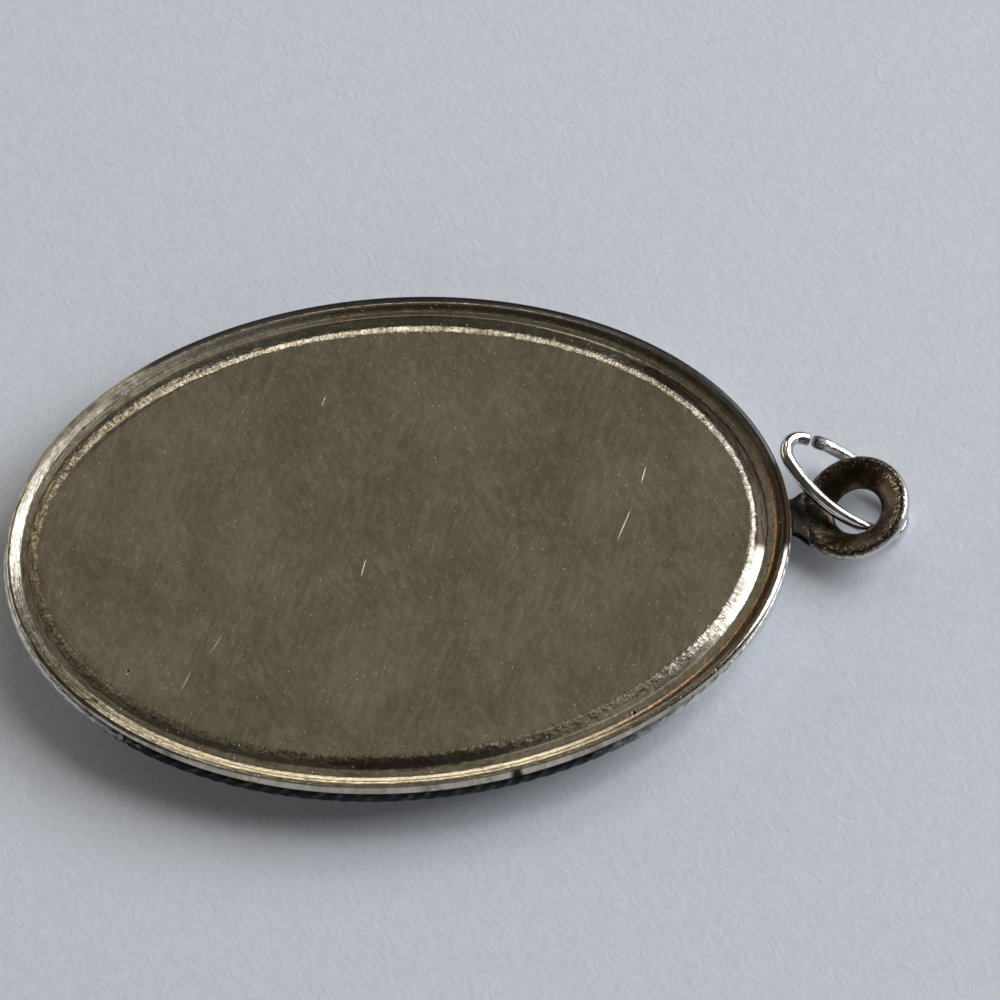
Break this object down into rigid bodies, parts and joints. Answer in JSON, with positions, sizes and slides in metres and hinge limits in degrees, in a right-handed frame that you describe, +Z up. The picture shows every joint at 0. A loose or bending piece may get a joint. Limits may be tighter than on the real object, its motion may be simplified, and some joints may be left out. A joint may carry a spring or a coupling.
{
  "type": "pendant",
  "caption": "Oval pendant lying on its front: a struck metal setting with a twisted edge holds a rounded mother of pearl stone, and a small loop carries an oval jump ring.",
  "frame": {"origin": "middle of the bottom face of the part's box, on the surface that the stone's face rests on", "axes": "+X along the oval towards the loop, +Z up out of the setting's plain back, +Y across the oval"},
  "size_m": [0.0464, 0.0286, 0.0032],
  "materials": {
    "setting_metal": "struck white base metal with a thin silver plating, rubbed and lightly tarnished",
    "nacre": "polished mother of pearl",
    "bright_wire": "bright silver plated round wire"
  },
  "bodies": {
    "root": {"setting": "setting_metal", "cabochon": "nacre", "jump_ring": "bright_wire"}
  },
  "joints": []
}
